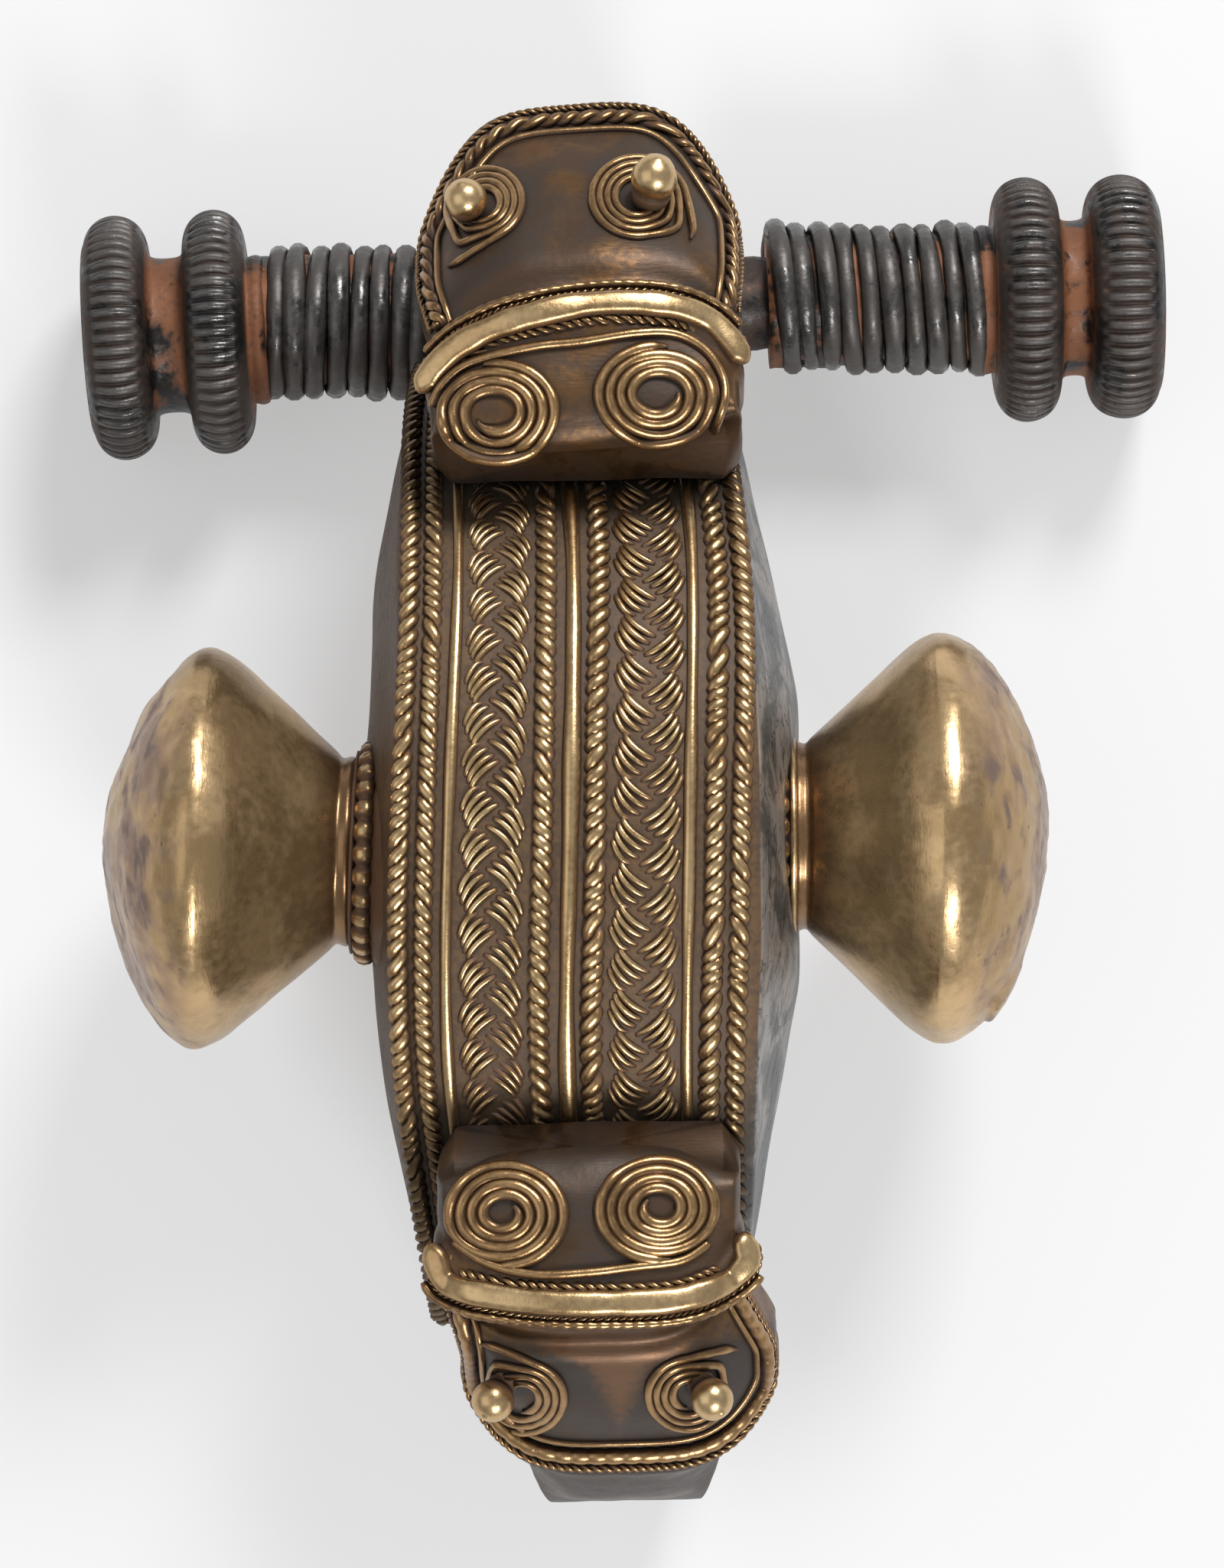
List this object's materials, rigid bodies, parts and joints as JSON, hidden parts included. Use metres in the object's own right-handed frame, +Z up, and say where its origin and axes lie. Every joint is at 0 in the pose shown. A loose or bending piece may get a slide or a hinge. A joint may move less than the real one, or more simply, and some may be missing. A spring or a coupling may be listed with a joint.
{
  "type": "fibula brooch",
  "caption": "Arched bow brooch of sheet gold with filigree bands, an animal head at each end, biconical side knobs and an iron crossbar with coils and double discs",
  "frame": {"origin": "On the table, under the middle of the brooch's box as it lies crest up", "axes": "+Z up through the crest, +Y to the head at the crossbar, +X to the right along the crossbar"},
  "size_m": [0.0542, 0.0668, 0.0273],
  "materials": {
    "bow_gold": "worn antique gold, brown in the hollows",
    "head_gold": "worn antique gold with dark grey-brown patina",
    "knob_gold": "smooth rubbed gold with small pits and pinkish stains",
    "dark_iron": "near-black iron with orange rust between the turns",
    "pin_iron": "dark iron with brown rust"
  },
  "bodies": {
    "brooch": {"bow": "bow_gold", "head_terminal": "head_gold", "foot_terminal": "head_gold", "head_eye_left": "head_gold", "head_eye_right": "head_gold", "foot_eye_left": "head_gold", "foot_eye_right": "head_gold", "left_collar": "bow_gold", "right_collar": "bow_gold", "left_knob": "knob_gold", "right_knob": "knob_gold", "crossbar": "dark_iron", "left_coil": "dark_iron", "right_coil": "dark_iron", "left_spool": "dark_iron", "right_spool": "dark_iron", "catch_plate": "bow_gold"},
    "pin_body": {"pin": "pin_iron"}
  },
  "joints": [
    {"name": "pin_hinge", "type": "hinge", "parent": "brooch", "child": "pin_body", "pos_m": [-0.0026, 0.02566, 0.0056], "axis": [0.9998, 0.0175, 0], "range_deg": [0, 40], "stiffness_Nm_per_rad": 0.01}
  ]
}
